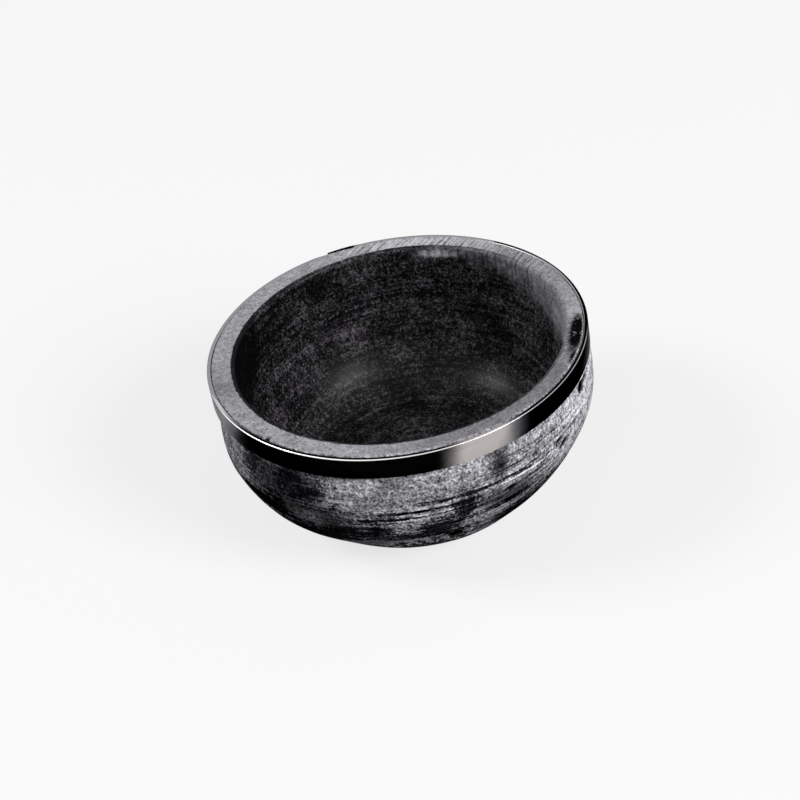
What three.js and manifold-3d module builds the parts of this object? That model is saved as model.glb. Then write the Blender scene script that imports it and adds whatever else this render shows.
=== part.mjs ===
// A dolsot: a thick stone bowl turned on a lathe, with a steel band round its rim that keeps the hot stone
// from splitting. The band is one strip, closed at the back by a riveted lap of its thinned ends.
// Millimetres, +Z up, origin at the middle of the flat foot.
import * as THREE from "three";
import { mergeVertices } from "three/addons/utils/BufferGeometryUtils.js";
import Module from "manifold-3d";

// Stone bowl, outside
const BOWL_HEIGHT = 100; // foot to rim
const FOOT_RADIUS = 67; // the flat that the bowl stands on
const FOOT_ROUND = 2.5; // broken edge of the foot
const FOOT_RUN = 27; // the side leaves the foot along this run ...
const FOOT_RISE = 24; // ... and this rise
const BELLY_RADIUS = 109.4; // the widest place
const BELLY_BELOW_BAND = 24; // from the band's shoulder down to the widest place
const BELLY_UPRIGHT = 20; // how far the side stays upright under the widest place
const SHOULDER_INSET = 1.6; // the stone draws in this far from the widest place to the band
const SEAT_STEP = 0.4; // depth of the seat turned for the band

// Stone bowl, rim and inside
const RIM_WIDTH = 12.4; // stone between the seat and the mouth of the hollow
const RIM_OUTER_ROUND = 1.2;
const RIM_INNER_ROUND = 3;
const WALL_TAPER = 2; // how far the inner wall leans in ...
const WALL_UPRIGHT = 40; // ... over this depth
const FLOOR_THICKNESS = 14;
const FLOOR_INSET = 17; // the hollow's flat floor is this much smaller in radius than the foot
const FLOOR_SWEEP = 36; // reach of the hollow's round bottom corner

// Steel band
const BAND_WIDTH = 13; // along Z
const BAND_THICKNESS = 2.3;
const BAND_BELOW_RIM = 0.7; // from the rim down to the band's top edge
const BAND_EDGE_BREAK = 0.35; // chamfer on the strip's long edges
const BAND_CLEARANCE = 0.3; // between the strip and the stone
const LAP_AZIMUTH = 103.5; // degrees from +X to the middle of the lap
const LAP_THICKNESS = 1.3; // both ends of the strip are thinned to this for the lap
const LAP_CLEARANCE = 0.3; // between the lap's two layers
const STEP_LENGTH = 8; // the strip thickens, and steps out over its own end, along this length
const STEP_CLEARANCE = 1.5; // from each end of the lap to the nearest step

// Rivets of the lap
const RIVET_COUNT = 2;
const RIVET_PITCH = 5.5;
const RIVET_FROM_END = 3; // from each end of the lap to the nearest rivet's middle
const RIVET_SHANK_RADIUS = 1.3;
const RIVET_HEAD_RADIUS = 2.3;
const RIVET_HEAD_HEIGHT = 1.1;
const RIVET_TAIL_RADIUS = 2; // countersunk end, flush with the strip's inner face
const RIVET_TAIL_DEPTH = 0.9;
const RIVET_CLEARANCE = 0.2; // round the shank, under the head and round the tail

// Fineness of round stretches
const TURN_STEPS = 72;
const SIDE_STEPS = 12;
const SHOULDER_STEPS = 4;
const ROUND_STEPS = 3;
const HEAD_STEPS = 4;
const STRIP_STEPS = 90;
const STEP_STEPS = 4;
const LAP_STEPS = 3;
const RIVET_STEPS = 16;
const WELD_DISTANCE = 1e-4; // points closer than this are one point

// Places that follow from the sizes
const bandTop = BOWL_HEIGHT - BAND_BELOW_RIM;
const bandBottom = bandTop - BAND_WIDTH;
const shoulderHeight = bandBottom - BAND_CLEARANCE;
const bellyHeight = shoulderHeight - BELLY_BELOW_BAND;
const shoulderRadius = BELLY_RADIUS - SHOULDER_INSET;
const seatRadius = shoulderRadius - SEAT_STEP;
const boreRadius = seatRadius - RIM_WIDTH;
const floorRadius = FOOT_RADIUS - FLOOR_INSET;
const bandInnerRadius = seatRadius + BAND_CLEARANCE;
const bandOuterRadius = bandInnerRadius + BAND_THICKNESS;
const coveredOuterRadius = bandInnerRadius + LAP_THICKNESS;
const lapInnerRadius = coveredOuterRadius + LAP_CLEARANCE;
const lapOuterRadius = lapInnerRadius + LAP_THICKNESS;
const lapLength = 2 * RIVET_FROM_END + (RIVET_COUNT - 1) * RIVET_PITCH;
const rivetHeight = BAND_WIDTH / 2; // over the band's lower edge
const rivetTailFace = bandInnerRadius;
const rivetHeadFace = lapOuterRadius + RIVET_CLEARANCE;

const stone = new THREE.MeshStandardMaterial({ color: 0x66676b, roughness: 0.85, metalness: 0 });
const darkSteel = new THREE.MeshStandardMaterial({ color: 0x1b1c1e, roughness: 0.25, metalness: 1 });
const brightSteel = new THREE.MeshStandardMaterial({ color: 0x85878a, roughness: 0.35, metalness: 1 });

const wasm = await Module();
wasm.setup();

const point = (x, y) => new THREE.Vector2(x, y);

// A closed geometry as a manifold solid.
function solidFrom(geometry) {
  const bare = geometry.clone();
  bare.deleteAttribute("normal");
  bare.deleteAttribute("uv");
  const merged = mergeVertices(bare, WELD_DISTANCE);
  return new wasm.Manifold(
    new wasm.Mesh({
      numProp: 3,
      vertProperties: merged.attributes.position.array,
      triVerts: new Uint32Array(merged.index.array),
    }),
  );
}

// A manifold solid as a geometry.
function geometryFrom(solid) {
  const mesh = solid.getMesh();
  const geometry = new THREE.BufferGeometry();
  geometry.setAttribute("position", new THREE.BufferAttribute(mesh.vertProperties, 3));
  geometry.setIndex(new THREE.BufferAttribute(mesh.triVerts, 1));
  geometry.computeVertexNormals();
  return geometry;
}

// A profile of (radius, height) points, turned round the Z axis.
function turned(profile, steps) {
  return new THREE.LatheGeometry(profile, steps).rotateX(Math.PI / 2);
}

// A named mesh.
function piece(name, geometry, material) {
  const mesh = new THREE.Mesh(geometry, material);
  mesh.name = name;
  return mesh;
}

// The bowl's profile of (radius, height) points: from the axis out along the foot, up the side, over the rim
// and down the hollow, back to the axis.
function bowlProfile() {
  const footCorner = point(FOOT_RADIUS, 0);
  const slope = point(FOOT_RUN, FOOT_RISE);
  const sideStart = footCorner.clone().addScaledVector(slope.clone().normalize(), FOOT_ROUND);
  const belly = point(BELLY_RADIUS, bellyHeight);
  const shoulder = point(shoulderRadius, shoulderHeight);
  const mouth = point(boreRadius, BOWL_HEIGHT - RIM_INNER_ROUND);
  const foot = new THREE.QuadraticBezierCurve(point(FOOT_RADIUS - FOOT_ROUND, 0), footCorner, sideStart);
  const side = new THREE.CubicBezierCurve(
    sideStart,
    footCorner.clone().add(slope),
    point(BELLY_RADIUS, bellyHeight - BELLY_UPRIGHT),
    belly,
  );
  const upperSide = new THREE.QuadraticBezierCurve(
    belly,
    point(BELLY_RADIUS, (bellyHeight + shoulderHeight) / 2),
    shoulder,
  );
  const rimOuter = new THREE.QuadraticBezierCurve(
    point(seatRadius, BOWL_HEIGHT - RIM_OUTER_ROUND),
    point(seatRadius, BOWL_HEIGHT),
    point(seatRadius - RIM_OUTER_ROUND, BOWL_HEIGHT),
  );
  const rimInner = new THREE.QuadraticBezierCurve(
    point(boreRadius + RIM_INNER_ROUND, BOWL_HEIGHT),
    point(boreRadius, BOWL_HEIGHT),
    mouth,
  );
  const hollow = new THREE.CubicBezierCurve(
    mouth,
    point(boreRadius - WALL_TAPER, mouth.y - WALL_UPRIGHT),
    point(floorRadius + FLOOR_SWEEP, FLOOR_THICKNESS),
    point(floorRadius, FLOOR_THICKNESS),
  );
  return [
    point(0, 0),
    ...foot.getPoints(ROUND_STEPS),
    ...side.getPoints(SIDE_STEPS).slice(1),
    ...upperSide.getPoints(SHOULDER_STEPS).slice(1),
    point(seatRadius, shoulderHeight),
    ...rimOuter.getPoints(ROUND_STEPS),
    ...rimInner.getPoints(ROUND_STEPS),
    ...hollow.getPoints(SIDE_STEPS).slice(1),
    point(0, FLOOR_THICKNESS),
  ];
}

// Angles along the strip: its covered end, where it grows to its full thickness, where it steps out over its
// own end, and its outer end, a turn and a lap further on.
const lapAngle = lapLength / lapOuterRadius;
const stepAngle = STEP_LENGTH / lapOuterRadius;
const stepGapAngle = STEP_CLEARANCE / lapOuterRadius;
const coveredEnd = THREE.MathUtils.degToRad(LAP_AZIMUTH) - lapAngle / 2;
const thickenStart = coveredEnd + lapAngle + stepGapAngle;
const thickenEnd = thickenStart + stepAngle;
const stepOutEnd = coveredEnd + 2 * Math.PI - stepGapAngle;
const stepOutStart = stepOutEnd - stepAngle;
const outerEnd = coveredEnd + 2 * Math.PI + lapAngle;

// Points along a round stretch of the strip.
function roundStretch(radius, from, to, steps) {
  return new THREE.EllipseCurve(0, 0, radius, radius, from, to, false, 0).getPoints(steps);
}

// Points along a smooth step from one radius to another.
function smoothStep(fromRadius, from, toRadius, to) {
  const at = (radius, angle) => point(radius * Math.cos(angle), radius * Math.sin(angle));
  const along = (angle) => point(-Math.sin(angle), Math.cos(angle)).multiplyScalar(STEP_LENGTH / 2);
  const start = at(fromRadius, from);
  const end = at(toRadius, to);
  return new THREE.CubicBezierCurve(
    start,
    start.clone().add(along(from)),
    end.clone().sub(along(to)),
    end,
  ).getPoints(STEP_STEPS);
}

// One long edge of the strip, seen from above, from its covered end to its outer end, given its radius under
// the lap, round the bowl and over the lap.
function stripEdge(coveredRadius, radius, lapRadius) {
  return [
    ...roundStretch(coveredRadius, coveredEnd, thickenStart, LAP_STEPS),
    ...smoothStep(coveredRadius, thickenStart, radius, thickenEnd).slice(1),
    ...roundStretch(radius, thickenEnd, stepOutStart, STRIP_STEPS).slice(1),
    ...smoothStep(radius, stepOutStart, lapRadius, stepOutEnd).slice(1),
    ...roundStretch(lapRadius, stepOutEnd, outerEnd, LAP_STEPS).slice(1),
  ];
}

// The strip without its rivet holes, standing on z = 0.
function bandStrip() {
  const outline = new THREE.Shape([
    ...stripEdge(coveredOuterRadius, bandOuterRadius, lapOuterRadius),
    ...stripEdge(bandInnerRadius, bandInnerRadius, lapInnerRadius).reverse(),
  ]);
  return new THREE.ExtrudeGeometry(outline, {
    depth: BAND_WIDTH - 2 * BAND_EDGE_BREAK,
    bevelEnabled: true,
    bevelSegments: 1,
    bevelThickness: BAND_EDGE_BREAK,
    bevelSize: BAND_EDGE_BREAK,
    bevelOffset: -BAND_EDGE_BREAK,
  }).translate(0, 0, BAND_EDGE_BREAK);
}

// Half-section of a rivet as (radius, place along the rivet) points, from its countersunk tail out to the
// crown of its head.
function rivetProfile() {
  const head = new THREE.EllipseCurve(0, rivetHeadFace, RIVET_HEAD_RADIUS, RIVET_HEAD_HEIGHT, 0, Math.PI / 2);
  return [
    point(0, rivetTailFace),
    point(RIVET_TAIL_RADIUS, rivetTailFace),
    point(RIVET_SHANK_RADIUS, rivetTailFace + RIVET_TAIL_DEPTH),
    point(RIVET_SHANK_RADIUS, rivetHeadFace),
    ...head.getPoints(HEAD_STEPS),
  ];
}

// Half-section of the hole for a rivet, through both layers of the lap and past their faces.
function holeProfile() {
  const inside = rivetTailFace - BAND_THICKNESS;
  const outside = rivetHeadFace + BAND_THICKNESS;
  const tailRadius = RIVET_TAIL_RADIUS + RIVET_CLEARANCE;
  const shankRadius = RIVET_SHANK_RADIUS + RIVET_CLEARANCE;
  return [
    point(0, inside),
    point(tailRadius, inside),
    point(tailRadius, rivetTailFace),
    point(shankRadius, rivetTailFace + RIVET_TAIL_DEPTH),
    point(shankRadius, outside),
    point(0, outside),
  ];
}

// A half-section turned round the +X axis.
function turnedRadially(profile) {
  return new THREE.LatheGeometry(profile, RIVET_STEPS).rotateZ(-Math.PI / 2);
}

// Angles of the rivets, a pitch apart from the covered end of the strip.
const rivetAngles = Array.from(
  { length: RIVET_COUNT },
  (_, i) => coveredEnd + (RIVET_FROM_END + i * RIVET_PITCH) / lapOuterRadius,
);

// The strip with a hole at each rivet.
function bandGeometry() {
  let strip = solidFrom(bandStrip());
  for (const angle of rivetAngles) {
    const hole = turnedRadially(holeProfile()).rotateZ(angle).translate(0, 0, rivetHeight);
    strip = strip.subtract(solidFrom(hole));
  }
  return geometryFrom(strip);
}

const dolsot = new THREE.Group();
dolsot.name = "dolsot";

dolsot.add(piece("stone_bowl", turned(bowlProfile(), TURN_STEPS), stone));

const band = new THREE.Group();
band.position.z = bandBottom;
band.add(piece("steel_band", bandGeometry(), darkSteel));
rivetAngles.forEach((angle, i) => {
  const rivet = piece(`band_rivet_${i + 1}`, turnedRadially(rivetProfile()), brightSteel);
  rivet.position.z = rivetHeight;
  rivet.rotation.z = angle;
  band.add(rivet);
});
dolsot.add(band);

export default dolsot;
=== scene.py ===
"""A dolsot with its finish: a thick bowl turned from grey stone, weathered and sooted outside and seasoned
inside, with a steel band round its rim painted near-black as a dark reflection. Metres, in the frame's
axes: +X right, +Y away."""
import math
from collections import namedtuple
from functools import reduce

import bpy
from mathutils import Matrix, Vector
from mathutils.geometry import interpolate_bezier


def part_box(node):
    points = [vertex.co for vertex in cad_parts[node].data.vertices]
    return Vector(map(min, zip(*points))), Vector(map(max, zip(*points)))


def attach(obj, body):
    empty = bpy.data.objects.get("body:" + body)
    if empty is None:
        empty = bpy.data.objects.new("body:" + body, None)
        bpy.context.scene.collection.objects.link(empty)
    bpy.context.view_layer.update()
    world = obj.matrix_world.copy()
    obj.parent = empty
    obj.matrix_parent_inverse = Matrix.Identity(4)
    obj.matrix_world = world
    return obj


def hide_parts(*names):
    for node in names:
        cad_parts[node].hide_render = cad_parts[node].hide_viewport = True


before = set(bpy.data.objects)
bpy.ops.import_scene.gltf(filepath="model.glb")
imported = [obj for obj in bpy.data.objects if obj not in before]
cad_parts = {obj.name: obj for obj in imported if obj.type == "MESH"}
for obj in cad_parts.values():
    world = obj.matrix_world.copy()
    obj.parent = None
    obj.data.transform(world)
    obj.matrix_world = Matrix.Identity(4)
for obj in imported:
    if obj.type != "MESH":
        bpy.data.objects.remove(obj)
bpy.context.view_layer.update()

MM = 0.001
GEOMETRY_TREE = "GeometryNodeTree"
SHADER_TREE = "ShaderNodeTree"

# Sizes that the frame gives
_, bowl_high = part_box("stone_bowl")
band_low, band_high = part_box("steel_band")
band_reach = [math.hypot(v.co.x, v.co.y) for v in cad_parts["steel_band"].data.vertices]
RIM_HEIGHT = bowl_high.z
BELLY_RADIUS = bowl_high.x
BAND_BOTTOM = band_low.z
BAND_TOP = band_high.z
BAND_INNER = min(band_reach)
LAP_OUTER = max(band_reach)
RIVET_NAMES = sorted(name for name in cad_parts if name.startswith("band_rivet"))

# Stone bowl, outside
FOOT_RADIUS = 67 * MM
FOOT_ROUND = 2.5 * MM
FOOT_RUN = 27 * MM
FOOT_RISE = 24 * MM
BELLY_BELOW_BAND = 24 * MM
BELLY_UPRIGHT = 20 * MM
SHOULDER_INSET = 1.6 * MM

# Stone bowl, rim and inside
RIM_WIDTH = 12.4 * MM
RIM_OUTER_ROUND = 1.2 * MM
RIM_INNER_ROUND = 3 * MM
WALL_TAPER = 2 * MM
WALL_UPRIGHT = 40 * MM
FLOOR_THICKNESS = 14 * MM
FLOOR_INSET = 17 * MM
FLOOR_SWEEP = 36 * MM
BORE_SHIFT = Vector((1.6, -0.6, 0.0)) * MM  # the hollow was bored a little off the middle

# Fineness of the stone's mesh: columns round the bowl, and the row spacing of each stretch of the profile
STONE_COLUMNS = 512
FINE_ROWS = 0.95 * MM
EDGE_ROWS = 0.5 * MM
HOLLOW_ROWS = 2.4 * MM
FLAT_ROWS = 6 * MM

# Accuracy of the profiles and of the joins between their stretches
CURVE_RESOLUTION = 64
LENGTH_SAMPLES = 200
WELD_DISTANCE = 1e-6

# Relief of the stone
LUMP_HEIGHT = 0.3 * MM
GROOVE_DEPTH = 0.16 * MM
SCORE_DEPTH = 0.45 * MM
PIT_DEPTH = 1.5 * MM
CHIP_DEPTH = 0.9 * MM
STONE_SEED = 3.0

# Relief of the stone, by its number in a metre
LUMPS = 30.0
DENTS = 110.0
SMALL_PITS = 46.0
GROOVED_PATCHES = 24.0
GROOVES_ROUND = 9.0
GROOVES_ALONG = 380.0
UNDERSIDE_DENTS = 160.0
NIBBLES = 210.0

# Borders over which the relief fades out
SIDE_FADE = 1.5 * MM
UNDERSIDE_FADE = 2 * MM
RIM_EDGE_FADE = 0.6 * MM
WALL_FADE = 6 * MM
CHIP_FADE = 1 * MM

# Steel band
BAND_THICKNESS = 2.3 * MM
BAND_CLEARANCE = 0.3 * MM
LAP_CLEARANCE = 0.3 * MM
LAP_THICKNESS = (LAP_OUTER - BAND_INNER - LAP_CLEARANCE) / 2
LAP_LENGTH = 11.5 * MM
LAP_AZIMUTH = math.radians(103.5)
STEP_LENGTH = 8 * MM
STEP_CLEARANCE = 1.5 * MM
BAND_EDGE_ROUND = 0.4 * MM
BAND_RIPPLE = 0.12 * MM
BAND_STEPS = 720
BAND_EDGE_FACETS = 3
BAND_SWAYS = 22.0  # in a metre
BAND_SEED = 11.0

# Rivets
RIVET_HEAD_RADIUS = 2.3 * MM
RIVET_HEAD_HEIGHT = 1.1 * MM
RIVET_SHANK_RADIUS = 1.3 * MM
RIVET_TAIL_RADIUS = 2 * MM
RIVET_TAIL_DEPTH = 0.9 * MM
RIVET_COLUMNS = 48
RIVET_ROWS = 0.25 * MM

# Places that follow from the sizes
BELLY_HEIGHT = BAND_BOTTOM - BAND_CLEARANCE - BELLY_BELOW_BAND
SHOULDER_HEIGHT = BAND_BOTTOM - BAND_CLEARANCE
SHOULDER_RADIUS = BELLY_RADIUS - SHOULDER_INSET
SEAT_RADIUS = BAND_INNER - BAND_CLEARANCE
BORE_RADIUS = SEAT_RADIUS - RIM_WIDTH
FLOOR_RADIUS = FOOT_RADIUS - FLOOR_INSET
TURN = 2 * math.pi

# A mark on the surface: degrees from +X and millimetres of reach (height, or radius on the rim), its half
# sizes in the same units, and how strongly it shows
Mark = namedtuple("Mark", "azimuth reach half_width half_reach strength")

PITS = [
    Mark(277.8, 26, 3, 7.5, 1.15),
    Mark(318.8, 60.8, 1.9, 2.4, 1.3),
    Mark(317.7, 59.4, 1.8, 2.2, 1.3),
    Mark(316, 64.8, 2.3, 1.6, 1.3),
    Mark(333, 79, 2.6, 3.8, 1.2),
    Mark(337, 80.4, 2.8, 1.9, 1.1),
    Mark(341, 80.8, 1.6, 1.4, 0.9),
    Mark(268.5, 14, 1.2, 3.5, 0.7),
    Mark(296, 56, 1.8, 2.2, 0.9),
    Mark(30, 58, 1.4, 1.7, 0.9),
    Mark(64, 70, 0.9, 2.4, 0.8),
    Mark(96, 44, 1.6, 1.6, 0.9),
    Mark(141, 64, 1.1, 1.4, 0.8),
    Mark(172, 52, 1.5, 2.2, 0.9),
]

SCORES = [
    Mark(275, 64.4, 13, 1.1, 0.9),
    Mark(266, 59.8, 17, 1.1, 1),
    Mark(303, 57.4, 14, 1, 0.8),
    Mark(325, 66.2, 11, 1, 1),
    Mark(299, 70.6, 18, 0.9, 0.7),
    Mark(296, 47, 12, 1, 0.8),
    Mark(20, 60, 34, 1.2, 0.9),
    Mark(50, 66.5, 22, 1, 0.8),
    Mark(110, 57, 40, 1.3, 1),
    Mark(160, 63, 24, 1.1, 0.9),
]

RIDGES = [
    Mark(268, 61.6, 18, 0.9, 1),
    Mark(270, 57, 18, 1, 1),
    Mark(303, 62, 14, 1, 0.9),
    Mark(304, 68.4, 14, 0.9, 0.8),
    Mark(318, 63.4, 12, 0.8, 0.8),
    Mark(305, 59.4, 12, 0.8, 0.7),
    Mark(24, 62.6, 30, 0.9, 0.8),
    Mark(112, 60, 36, 1, 0.9),
]

# a dim wash: painted shade on the left front, from 224 to 240 degrees, and soot elsewhere
SHADE_AND_SOOT_WASH = [
    Mark(224, 64, 15, 26, 1.2),
    Mark(230, 72, 10, 15, 1.6),
    Mark(240, 54, 6, 12, 0.8),
    Mark(293.5, 77, 2.6, 10, 0.8),
    Mark(295, 51, 12, 8, 0.9),
    Mark(304, 27, 14, 12, 1),
    Mark(40, 50, 34, 16, 1),
    Mark(112, 44, 50, 16, 1),
    Mark(132, 76, 13, 16, 1),
    Mark(182, 44, 30, 16, 1),
]

PALE = [
    Mark(271, 14, 26, 17, 1),
    Mark(279, 25, 8, 12, 1.2),
    Mark(294, 40, 6, 4, 0.8),
    Mark(262, 47, 3, 6, 0.6),
    Mark(339, 71, 14, 16, 1),
    Mark(90, 14, 60, 14, 0.8),
    Mark(180, 14, 40, 12, 0.8),
]

STREAKS = [
    Mark(308, 57, 30, 22, 1),
    Mark(268, 58, 26, 8, 0.8),
    Mark(20, 58, 45, 22, 0.9),
    Mark(110, 56, 50, 20, 0.9),
    Mark(170, 60, 25, 14, 0.7),
]

SOOT = [
    Mark(212.5, 77, 3.6, 11, 0.7),
    Mark(231, 73, 6, 10, 0.5),
    Mark(214, 52, 12, 9, 1.2),
    Mark(234, 37, 14, 9, 1.1),
    Mark(251, 43.5, 9, 9, 1.2),
    Mark(273, 42, 9, 10, 1.2),
    Mark(262, 38, 18, 5, 1.2),
    Mark(242.5, 64.5, 1.4, 4.5, 0.9),
    Mark(292, 64.6, 15, 1.1, 0.6),
    Mark(262, 55.8, 13, 0.7, 0.8),
    Mark(268, 60, 11, 0.6, 0.8),
    Mark(281, 52, 3.5, 10, 0.7),
    Mark(298, 46, 8, 2.4, 0.8),
    Mark(300, 26, 7, 11, 1),
    Mark(322, 27, 20, 12, 0.9),
    Mark(252, 8, 22, 8, 0.8),
    Mark(20, 40, 32, 12, 1),
    Mark(52, 66, 8, 11, 0.9),
    Mark(88, 41, 38, 12, 1.1),
    Mark(128, 70, 10, 10, 1),
    Mark(160, 44, 36, 12, 1.1),
    Mark(186, 42, 22, 11, 1),
    Mark(18, 18, 12, 8, 0.6),
    Mark(62, 12, 16, 8, 0.7),
    Mark(118, 17, 14, 9, 0.7),
    Mark(168, 12, 18, 8, 0.7),
    Mark(203, 20, 12, 9, 0.8),
]

# Bulges and flats of the side, whose strength is how far they stand out in millimetres
BULGES = [
    Mark(322, 42, 46, 28, -1.7),
    Mark(290, 6, 34, 14, 0.6),
    Mark(224, 34, 32, 22, 1.2),
    Mark(200, 75, 34, 24, -2.1),
    Mark(352, 78, 30, 22, 0.9),
]

# Marks inside the hollow, by height
# the first two are painted sheen on the right of the upper wall; the one at the back is a pale bare patch
SHEEN_AND_BARE_WALL = [
    Mark(353, 92, 28, 18, 1.5),
    Mark(20, 97, 26, 8, 0.7),
    Mark(68.8, 95.4, 7.5, 2.6, 1.5),
]

# the hollow made darker on its left side
DARKER_LEFT_WALL = [Mark(182, 84, 55, 45, 1)]

# Marks on the rim, by radius
CHIPS = [Mark(222.6, 107.2, 0.8, 3.2, 1)]

STAINS = [
    Mark(345, 103.6, 10, 6.2, 1.5),
    Mark(333, 106, 3.5, 1.8, 0.9),
]

SCRATCHED = [Mark(62, 101, 52, 60, 1)]

DULL_RIM = [
    Mark(304, 101, 44, 60, 1),
    Mark(190, 101, 12, 60, 0.4),
    Mark(34, 101, 28, 60, 0.6),
]

SIDE_MARKS = {
    "pit": PITS, "score": SCORES, "ridge": RIDGES, "streak": STREAKS, "shade_and_soot_wash": SHADE_AND_SOOT_WASH, "pale": PALE,
    "soot": SOOT, "sheen_and_bare_wall": SHEEN_AND_BARE_WALL, "darker_left_wall": DARKER_LEFT_WALL,
}
RIM_MARKS = {"chip": CHIPS, "stain": STAINS, "scratched": SCRATCHED, "dull": DULL_RIM}

# Marks on the band, by height
# the two at the front right and the one at 188 degrees are painted reflection; the two small ones are
# rubbed wear
BARE_STEEL_AND_REFLECTION = [
    Mark(287.5, 88, 9.5, 20, 1),
    Mark(292, 96, 9.5, 20, 0.7),
    Mark(188, 93, 21.5, 60, 0.9),
    Mark(84, 91, 12, 5, 0.6),
    Mark(128, 91, 9, 5, 0.6),
]

# darkens the right side of the painted reflection at the front right
REFLECTION_FALLOFF = [Mark(306, 94, 10, 40, 1)]

# lightens the bare steel on the left back, mostly the painted grazing reflection at 188 degrees
GREY_STEEL = [Mark(180, 93, 60, 60, 1)]

# painted glint: the worn outer arris of the upper edge made pale at the front, where it catches the light
WORN_GLINT_EDGE = [Mark(272, 99.3, 80, 60, 1)]

GREY_EDGE = [
    Mark(150, 99.3, 46, 60, 1),
    Mark(74, 99.3, 25, 60, 1),
    Mark(24, 99.3, 34, 60, 0.06),
]

# widens the painted glint on the front left and makes it near-white
WIDE_GLINT_EDGE = [Mark(225, 99.3, 80, 80, 1)]

BAND_MARKS = {
    "bare": BARE_STEEL_AND_REFLECTION, "reflection_falloff": REFLECTION_FALLOFF, "grey_steel": GREY_STEEL,
    "worn_glint_edge": WORN_GLINT_EDGE, "wide_glint_edge": WIDE_GLINT_EDGE, "grey_edge": GREY_EDGE,
}


class Value:
    """A socket of a node tree that can stand in a formula."""

    def __init__(self, graph, socket):
        self.graph = graph
        self.socket = socket

    def __add__(self, other):
        return self.graph.math("ADD", self, other)

    def __sub__(self, other):
        return self.graph.math("SUBTRACT", self, other)

    def __rsub__(self, other):
        return self.graph.math("SUBTRACT", other, self)

    def __mul__(self, other):
        return self.graph.math("MULTIPLY", self, other)

    def __truediv__(self, other):
        return self.graph.math("DIVIDE", self, other)

    def __rtruediv__(self, other):
        return self.graph.math("DIVIDE", other, self)


class Graph:
    """A node tree being built. An input takes a Value, which is linked, or a plain setting."""

    def __init__(self, tree):
        self.tree = tree

    def feed(self, socket, value):
        if isinstance(value, Value):
            self.tree.links.new(value.socket, socket)
        else:
            socket.default_value = value

    def add(self, kind, feeds=None, **settings):
        """Adds a node: first its settings, then its inputs by name or number."""
        node = self.tree.nodes.new(kind)
        for name, setting in settings.items():
            setattr(node, name, setting)
        for key, value in (feeds or {}).items():
            self.feed(node.inputs[key], value)
        return node

    def out(self, kind, output, feeds=None, **settings):
        """Adds a node and gives one of its outputs."""
        return Value(self, self.add(kind, feeds, **settings).outputs[output])

    def math(self, operation, *values):
        return self.out("ShaderNodeMath", 0, dict(enumerate(values)), operation=operation)

    def most(self, *values):
        return reduce(lambda a, b: self.math("MAXIMUM", a, b), values)

    def vector(self, operation, *values):
        return self.out("ShaderNodeVectorMath", 0, dict(enumerate(values)), operation=operation)

    def scaled(self, vector, factor):
        return self.out("ShaderNodeVectorMath", 0, {0: vector, "Scale": factor}, operation="SCALE")

    def xyz(self, x, y, z):
        return self.out("ShaderNodeCombineXYZ", 0, {0: x, 1: y, 2: z})

    def parts(self, vector):
        node = self.add("ShaderNodeSeparateXYZ", {0: vector})
        return [Value(self, socket) for socket in node.outputs]

    def radius(self, x, y):
        return self.math("SQRT", x * x + y * y)

    def azimuth(self, x, y):
        return self.math("DEGREES", self.math("ARCTAN2", y, x))

    def round_axis(self, radius, angle, height):
        """The point at a radius, an angle and a height round the Z axis."""
        return self.xyz(radius * self.math("COSINE", angle), radius * self.math("SINE", angle), height)

    def ease(self, value, low, high, start=0.0, end=1.0):
        """Goes smoothly from start to end as the value goes from low to high, and stays there."""
        feeds = {0: value, 1: low, 2: high, 3: start, 4: end}
        return self.out("ShaderNodeMapRange", 0, feeds, interpolation_type="SMOOTHSTEP")

    def spread(self, value, low, high, start=0.0, end=1.0):
        """Goes evenly from start to end as the value goes from low to high, and stays there."""
        return self.out("ShaderNodeMapRange", 0, {0: value, 1: low, 2: high, 3: start, 4: end})

    def between(self, value, low, high, soft):
        """1 from low to high, and 0 outside, over a soft border."""
        rise = self.ease(value, low - soft, low + soft)
        return rise * self.ease(value, high - soft, high + soft, 1.0, 0.0)

    def blend(self, factor, first, second):
        return self.out("ShaderNodeMix", 0, {0: factor, 2: first, 3: second}, data_type="FLOAT")

    def tint(self, factor, first, second, how="MIX"):
        feeds = {0: factor, 6: first, 7: second}
        return self.out("ShaderNodeMix", 2, feeds, data_type="RGBA", blend_type=how)

    def noise(self, place, scale, detail=2.0, roughness=0.5):
        feeds = {"Vector": place, "Scale": scale, "Detail": detail, "Roughness": roughness}
        return self.out("ShaderNodeTexNoise", "Fac", feeds)

    def cell_distance(self, place, scale):
        return self.out("ShaderNodeTexVoronoi", "Distance", {"Vector": place, "Scale": scale})

    def use(self, group, output, feeds):
        """Places a node group and gives one of its outputs."""
        kind = "GeometryNodeGroup" if self.tree.bl_idname == GEOMETRY_TREE else "ShaderNodeGroup"
        return self.out(kind, output, feeds, node_tree=group.tree)


SOCKET_KINDS = {int: "NodeSocketInt", float: "NodeSocketFloat", Vector: "NodeSocketVector"}


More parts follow.
